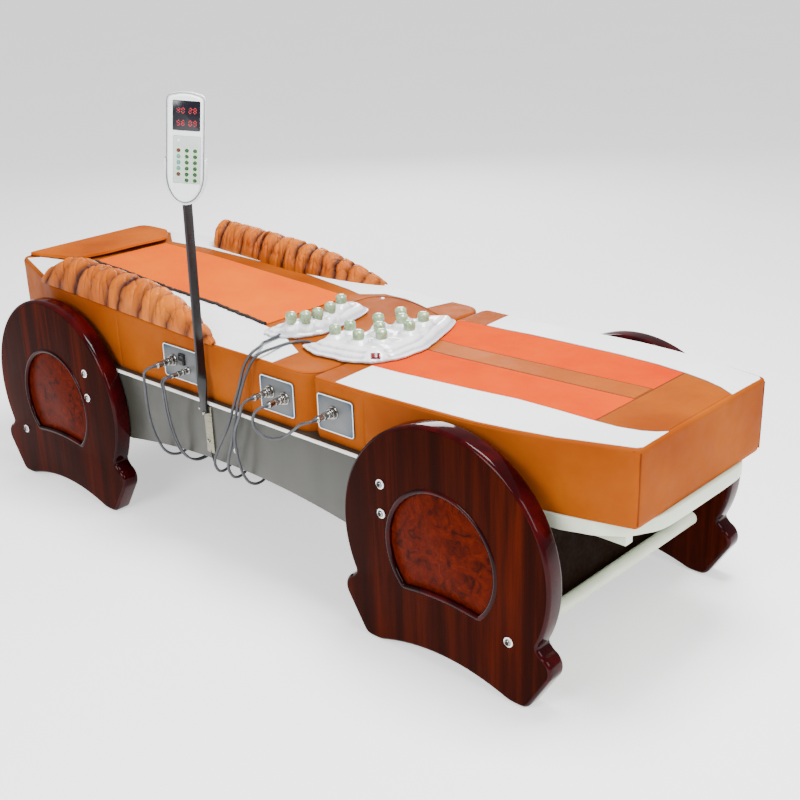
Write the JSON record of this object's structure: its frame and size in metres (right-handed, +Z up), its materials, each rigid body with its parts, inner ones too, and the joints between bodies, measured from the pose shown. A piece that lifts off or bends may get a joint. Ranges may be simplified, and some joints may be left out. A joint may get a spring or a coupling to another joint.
{
  "type": "heated massage bed",
  "caption": "Two-section upholstered massage bed on round wooden legs, with a travelling roller drive, jade projectors, side bolsters and a handset on a pole.",
  "frame": {"origin": "on the floor, under the middle of the bed's length and width", "axes": "+X along the bed towards the foot end, +Y to the far long side (the sockets, pole and handset are on the -Y side), +Z up"},
  "size_m": [1.956, 0.7127, 1.0577],
  "materials": {
    "dark_wood": "lacquered, vertical dark grain, glossy red-brown edge",
    "burl": "lacquered burr veneer",
    "grey_metal": "satin grey paint",
    "ivory_enamel": "satin ivory paint",
    "ivory_panel": "satin ivory moulding",
    "bottom_board": "dark board",
    "padded_leather": "tan leatherette over foam",
    "tan_leather": "tan leatherette",
    "orange_cloth": "smooth woven cloth",
    "plate_blue": "satin blue-grey with a white border",
    "chrome": "polished",
    "black_plastic": "satin black",
    "white_plastic": "semi-gloss white",
    "red_plastic": "gloss",
    "keypad_grey": "matt overlay",
    "green_rubber": "soft keys",
    "blue_rubber": "soft keys, one red",
    "jade": "polished jade",
    "steel": "machined",
    "grey_cable": "satin cable sheath"
  },
  "bodies": {
    "frame": {"leg_head_near": "dark_wood", "leg_head_far": "dark_wood", "leg_foot_near": "dark_wood", "leg_foot_far": "dark_wood", "inlay_head_near": "burl", "inlay_head_far": "burl", "inlay_foot_near": "burl", "inlay_foot_far": "burl", "rail_near": "grey_metal", "rail_far": "grey_metal", "cross_tube_head": "ivory_enamel", "cross_tube_foot": "ivory_enamel", "end_board_head": "bottom_board", "end_board_foot": "bottom_board", "base_pan": "bottom_board", "main_mattress": "padded_leather", "bolster_near": "padded_leather", "bolster_far": "padded_leather", "main_cover": "orange_cloth", "plate_left": "plate_blue", "plate_middle": "plate_blue", "plug_left": "chrome", "plug_twin": "chrome", "plug_link": "chrome", "plug_jumper_main": "chrome", "pole": "black_plastic", "drive_motor": "black_plastic", "control_box": "black_plastic", "guide_frame": "steel", "lead_left": "grey_cable", "lead_twin": "grey_cable", "hand_projector_lead": "grey_cable", "large_projector_lead": "grey_cable", "link_lead": "grey_cable", "jumper_lead": "grey_cable"},
    "foot_section": {"foot_mattress": "padded_leather", "foot_cover": "orange_cloth", "foot_tray": "ivory_panel", "runner_frame": "ivory_enamel", "plate_right": "plate_blue", "plug_jumper_foot": "chrome"},
    "head_flap": {"head_flap": "tan_leather"},
    "carriage": {"carriage": "steel"},
    "lift_yoke": {"lift_yoke": "steel"},
    "rollers_front": {"rollers_front": "jade"},
    "rollers_rear": {"rollers_rear": "jade"},
    "lead_screw": {"lead_screw": "steel"},
    "holder": {"holder": "white_plastic"},
    "handset": {"handset_case": "white_plastic", "display_window": "black_plastic", "keypad_plate": "keypad_grey"},
    "key_column_left": {"key_column_left": "blue_rubber"},
    "key_column_middle": {"key_column_middle": "green_rubber"},
    "key_column_right": {"key_column_right": "green_rubber"},
    "power_switch": {"power_switch": "black_plastic"},
    "hand_projector": {"hand_projector_case": "white_plastic", "hand_projector_stones": "jade"},
    "large_projector": {"large_projector_case": "white_plastic", "large_projector_stones": "jade"},
    "large_projector_switch": {"large_projector_switch": "red_plastic"}
  },
  "joints": [
    {"name": "foot_slide", "type": "slide", "parent": "frame", "child": "foot_section", "axis": [1, 0, 0], "range_m": [0, 0.12]},
    {"name": "flap_hinge", "type": "hinge", "parent": "frame", "child": "head_flap", "pos_m": [-0.972, 0, 0.54505], "axis": [0, -1, 0], "range_deg": [0, 90]},
    {"name": "carriage_travel", "type": "slide", "parent": "frame", "child": "carriage", "axis": [1, 0, 0], "range_m": [-0.235, 0.235]},
    {"name": "lead_screw_turn", "type": "hinge", "parent": "frame", "child": "lead_screw", "pos_m": [-0.785, 0, 0.298], "axis": [1, 0, 0], "range_deg": [-4300, 4300]},
    {"name": "yoke_lift", "type": "slide", "parent": "carriage", "child": "lift_yoke", "axis": [0, 0, 1], "range_m": [0, 0.028]},
    {"name": "front_rollers_turn", "type": "hinge", "parent": "lift_yoke", "child": "rollers_front", "pos_m": [-0.385, 0, 0.445], "axis": [0, 1, 0], "continuous": true},
    {"name": "rear_rollers_turn", "type": "hinge", "parent": "lift_yoke", "child": "rollers_rear", "pos_m": [-0.475, 0, 0.445], "axis": [0, 1, 0], "continuous": true},
    {"name": "holder_swivel", "type": "hinge", "parent": "frame", "child": "holder", "pos_m": [-0.09673, -0.3065, 0.842], "axis": [0.0218, 0, 0.9998], "range_deg": [-120, 120]},
    {"name": "handset_lift", "type": "slide", "parent": "holder", "child": "handset", "axis": [0.0739, 0.0689, 0.9949], "range_m": [0, 0.11]},
    {"name": "key_column_left_press", "type": "slide", "parent": "handset", "child": "key_column_left", "axis": [-0.682, 0.7314, 0], "range_m": [0, 0.0008], "stiffness_N_per_m": 400},
    {"name": "key_column_middle_press", "type": "slide", "parent": "handset", "child": "key_column_middle", "axis": [-0.682, 0.7314, 0], "range_m": [0, 0.0008], "stiffness_N_per_m": 400},
    {"name": "key_column_right_press", "type": "slide", "parent": "handset", "child": "key_column_right", "axis": [-0.682, 0.7314, 0], "range_m": [0, 0.0008], "stiffness_N_per_m": 400},
    {"name": "power_switch_rock", "type": "hinge", "parent": "frame", "child": "power_switch", "pos_m": [-0.196, -0.29105, 0.4495], "axis": [1, 0, 0], "range_deg": [-12, 0]},
    {"name": "hand_projector_lift", "type": "slide", "parent": "frame", "child": "hand_projector", "axis": [0, 0, 1], "range_m": [0, 0.06]},
    {"name": "large_projector_lift", "type": "slide", "parent": "frame", "child": "large_projector", "axis": [0, 0, 1], "range_m": [0, 0.06]},
    {"name": "large_projector_switch_rock", "type": "hinge", "parent": "large_projector", "child": "large_projector_switch", "pos_m": [0.28262, -0.14875, 0.52306], "axis": [-0.5587, 0.5991, 0.5736], "range_deg": [0, 12]}
  ],
  "couplings": [
    {"joint": "lead_screw_turn", "follows": "carriage_travel", "rad_per_m": 314.16}
  ]
}
